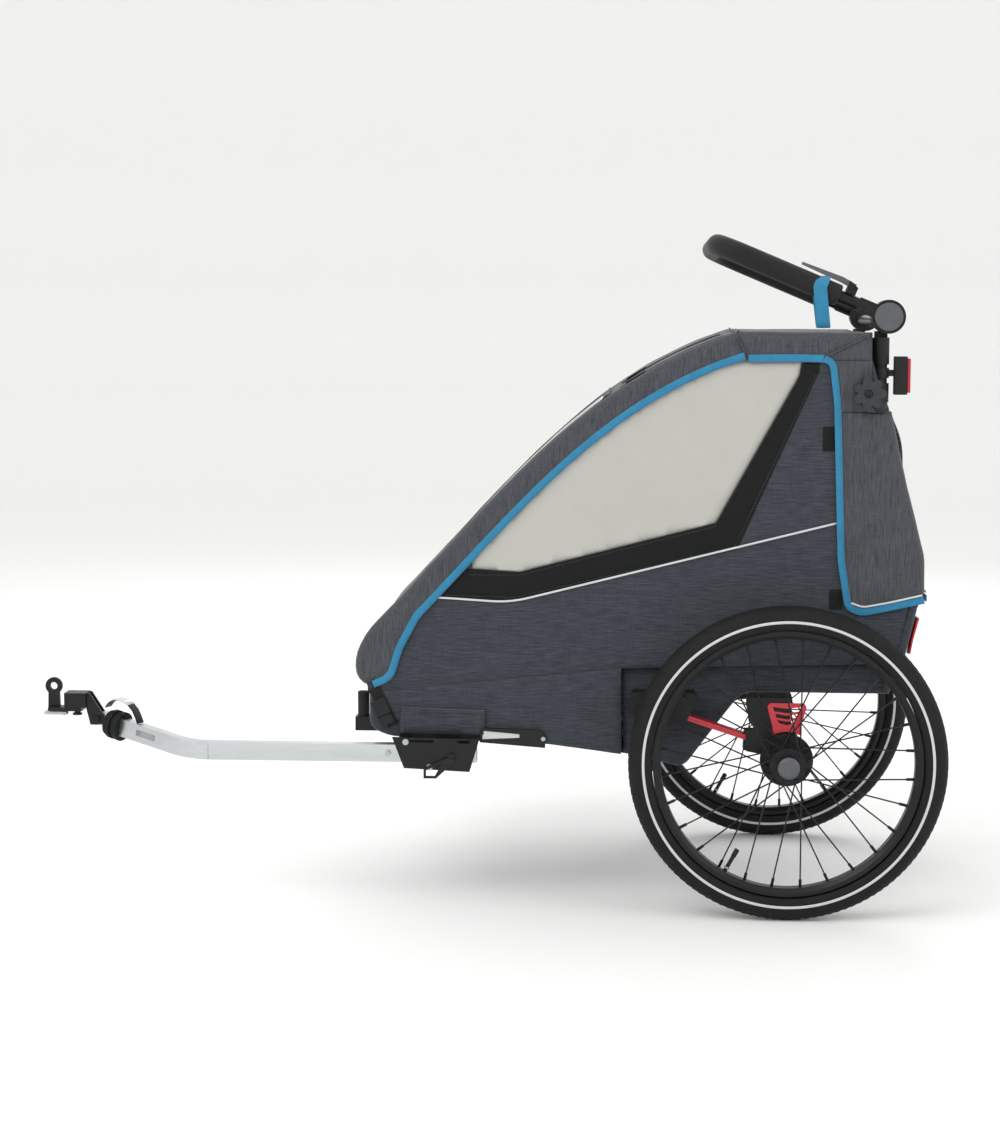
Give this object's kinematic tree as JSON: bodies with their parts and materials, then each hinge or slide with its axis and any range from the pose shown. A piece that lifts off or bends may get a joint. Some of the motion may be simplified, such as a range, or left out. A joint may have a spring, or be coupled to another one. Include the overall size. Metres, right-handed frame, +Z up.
{
  "type": "child bicycle trailer",
  "caption": "Fabric-bodied child trailer on two spoked wheels with leaf springs, a folding tube frame, a tilting push bar and a bent drawbar with an axle hitch.",
  "frame": {"origin": "on the floor under the middle of the whole trailer, hitch included", "axes": "+Z up, the hitch points towards -X, the trailer's left side is -Y"},
  "size_m": [1.4639, 0.69, 1.0762],
  "materials": {
    "frame_aluminium": "satin anodised",
    "black_aluminium": "black powder coat",
    "black_plastic": "fine grain",
    "black_metal": "powder coat",
    "grey_plastic": "satin",
    "steel": "plated",
    "red_plastic": "clear red",
    "red_metal": "powder coat",
    "foam": "foam skin",
    "rubber": "moulded",
    "tyre": "matt",
    "cover_fabric": "melange weave",
    "body_fabric": "melange weave",
    "lining": "padded",
    "webbing": "woven",
    "blue_webbing": "woven",
    "vinyl": "milky film"
  },
  "bodies": {
    "chassis": {"base_side_tubes": "frame_aluminium", "base_cross_tubes": "frame_aluminium", "wheel_socket": "black_plastic", "chassis_fasteners": "steel", "drawbar_bracket": "black_metal", "spring_mounts": "black_plastic", "reflector_pods": "grey_plastic", "cover_buckles": "webbing", "rear_reflectors": "red_plastic", "seat_cushion": "lining", "backrest": "lining", "harness_straps": "webbing", "harness_buckle": "black_plastic", "lower_body": "body_fabric", "side_panels": "body_fabric", "side_windows": "vinyl", "rear_cover": "cover_fabric", "mesh_pocket": "webbing", "drawbar": "frame_aluminium", "drawbar_boot": "rubber", "safety_strap": "webbing"},
    "harness_button": {"harness_button": "red_plastic"},
    "drawbar_pin": {"drawbar_pin": "steel"},
    "snap_button": {"snap_button": "steel"},
    "hitch_fork": {"hitch_fork": "black_metal"},
    "axle_adapter": {"axle_adapter": "black_metal"},
    "hitch_lever": {"hitch_lever": "steel"},
    "roof_hoop": {"roof_hoop": "frame_aluminium", "roof_cover": "cover_fabric"},
    "front_cover": {"front_cover": "cover_fabric"},
    "rear_hoop": {"rear_hoop": "black_aluminium", "hinge_discs": "black_plastic", "knob_brackets": "black_plastic", "rear_light": "black_plastic", "light_lens": "red_plastic"},
    "star_knob_left": {"star_knob_left": "black_plastic"},
    "star_knob_right": {"star_knob_right": "black_plastic"},
    "clutch": {"clutch_rings": "grey_plastic"},
    "push_bar": {"push_bar_arms": "black_aluminium", "push_bar_grip": "foam", "wrist_strap": "blue_webbing"},
    "hinge_button_left": {"hinge_button_left": "grey_plastic"},
    "hinge_button_right": {"hinge_button_right": "grey_plastic"},
    "brake_lever": {"brake_lever": "grey_plastic"},
    "suspension_left": {"leaf_spring_left": "red_metal", "axle_carrier_left": "black_metal", "slot_plate_left": "red_metal"},
    "wheel_left": {"tyre_left": "tyre", "rim_left": "black_metal", "spokes_left": "black_metal", "hub_left": "black_metal"},
    "axle_button_left": {"axle_button_left": "grey_plastic"},
    "suspension_right": {"leaf_spring_right": "red_metal", "axle_carrier_right": "black_metal", "slot_plate_right": "red_metal"},
    "wheel_right": {"tyre_right": "tyre", "rim_right": "black_metal", "spokes_right": "black_metal", "hub_right": "black_metal"},
    "axle_button_right": {"axle_button_right": "grey_plastic"}
  },
  "joints": [
    {"name": "frame_fold", "type": "hinge", "parent": "chassis", "child": "rear_hoop", "pos_m": [0.624, 0, 0.365], "axis": [0, -1, 0], "range_deg": [0, 75], "deforming": ["side_panels", "side_windows", "rear_cover", "mesh_pocket", "backrest", "harness_straps", "rear_reflectors", "roof_cover", "front_cover"]},
    {"name": "roof_fold", "type": "hinge", "parent": "chassis", "child": "roof_hoop", "pos_m": [-0.163, 0, 0.3], "axis": [0, 1, 0], "range_deg": [0, 30]},
    {"name": "push_bar_level", "type": "hinge", "parent": "rear_hoop", "child": "clutch", "pos_m": [0.635, 0, 0.946], "axis": [0, 1, 0], "range_deg": [0, 80]},
    {"name": "push_bar_tilt", "type": "hinge", "parent": "clutch", "child": "push_bar", "pos_m": [0.635, 0, 0.946], "axis": [0, 1, 0], "range_deg": [0, 105]},
    {"name": "cover_open", "type": "hinge", "parent": "roof_hoop", "child": "front_cover", "pos_m": [0.398, 0, 0.923], "axis": [0, 1, 0], "range_deg": [0, 55]},
    {"name": "brake_lever_pull", "type": "hinge", "parent": "push_bar", "child": "brake_lever", "pos_m": [0.57693, -0.2, 0.99346], "axis": [0, 1, 0], "range_deg": [0, 40]},
    {"name": "drawbar_pin_pull", "type": "slide", "parent": "chassis", "child": "drawbar_pin", "axis": [0, -1, 0], "range_m": [0, 0.04]},
    {"name": "snap_button_press", "type": "slide", "parent": "chassis", "child": "snap_button", "axis": [0, 1, 0], "range_m": [0, 0.004], "stiffness_N_per_m": 400},
    {"name": "harness_button_press", "type": "slide", "parent": "chassis", "child": "harness_button", "axis": [0, 0, -1], "range_m": [0, 0.003], "stiffness_N_per_m": 500},
    {"name": "hitch_pitch", "type": "hinge", "parent": "chassis", "child": "hitch_fork", "pos_m": [-0.644, -0.17, 0.286], "axis": [0, 1, 0], "range_deg": [-25, 25]},
    {"name": "hitch_swivel", "type": "hinge", "parent": "hitch_fork", "child": "axle_adapter", "pos_m": [-0.678, -0.17, 0.302], "axis": [0, 0, 1], "range_deg": [-40, 40]},
    {"name": "hitch_lever_turn", "type": "hinge", "parent": "axle_adapter", "child": "hitch_lever", "pos_m": [-0.7, -0.17, 0.295], "axis": [0, 0, 1], "range_deg": [0, 70]},
    {"name": "suspension_left", "type": "hinge", "parent": "chassis", "child": "suspension_left", "pos_m": [0.31, -0.245, 0.316], "axis": [0, -1, 0], "range_deg": [-2, 6], "stiffness_Nm_per_rad": 600, "springref_deg": -1.15},
    {"name": "wheel_spin_left", "type": "hinge", "parent": "suspension_left", "child": "wheel_left", "pos_m": [0.482, -0.3, 0.25], "axis": [0, 1, 0], "continuous": true},
    {"name": "axle_button_press_left", "type": "slide", "parent": "wheel_left", "child": "axle_button_left", "axis": [0, 1, 0], "range_m": [0, 0.003], "stiffness_N_per_m": 800},
    {"name": "star_knob_turn_left", "type": "hinge", "parent": "rear_hoop", "child": "star_knob_left", "pos_m": [0.604, -0.24, 0.827], "axis": [0, 1, 0], "continuous": true},
    {"name": "hinge_button_press_left", "type": "slide", "parent": "push_bar", "child": "hinge_button_left", "axis": [0, 1, 0], "range_m": [0, 0.003], "stiffness_N_per_m": 800},
    {"name": "suspension_right", "type": "hinge", "parent": "chassis", "child": "suspension_right", "pos_m": [0.31, 0.245, 0.316], "axis": [0, -1, 0], "range_deg": [-2, 6], "stiffness_Nm_per_rad": 600, "springref_deg": -1.15},
    {"name": "wheel_spin_right", "type": "hinge", "parent": "suspension_right", "child": "wheel_right", "pos_m": [0.482, 0.3, 0.25], "axis": [0, 1, 0], "continuous": true},
    {"name": "axle_button_press_right", "type": "slide", "parent": "wheel_right", "child": "axle_button_right", "axis": [0, -1, 0], "range_m": [0, 0.003], "stiffness_N_per_m": 800},
    {"name": "star_knob_turn_right", "type": "hinge", "parent": "rear_hoop", "child": "star_knob_right", "pos_m": [0.604, 0.24, 0.827], "axis": [0, 1, 0], "continuous": true},
    {"name": "hinge_button_press_right", "type": "slide", "parent": "push_bar", "child": "hinge_button_right", "axis": [0, -1, 0], "range_m": [0, 0.003], "stiffness_N_per_m": 800}
  ],
  "couplings": [
    {"joint": "roof_fold", "follows": "frame_fold", "ratio": 0.4},
    {"joint": "push_bar_level", "follows": "frame_fold", "ratio": 1}
  ]
}
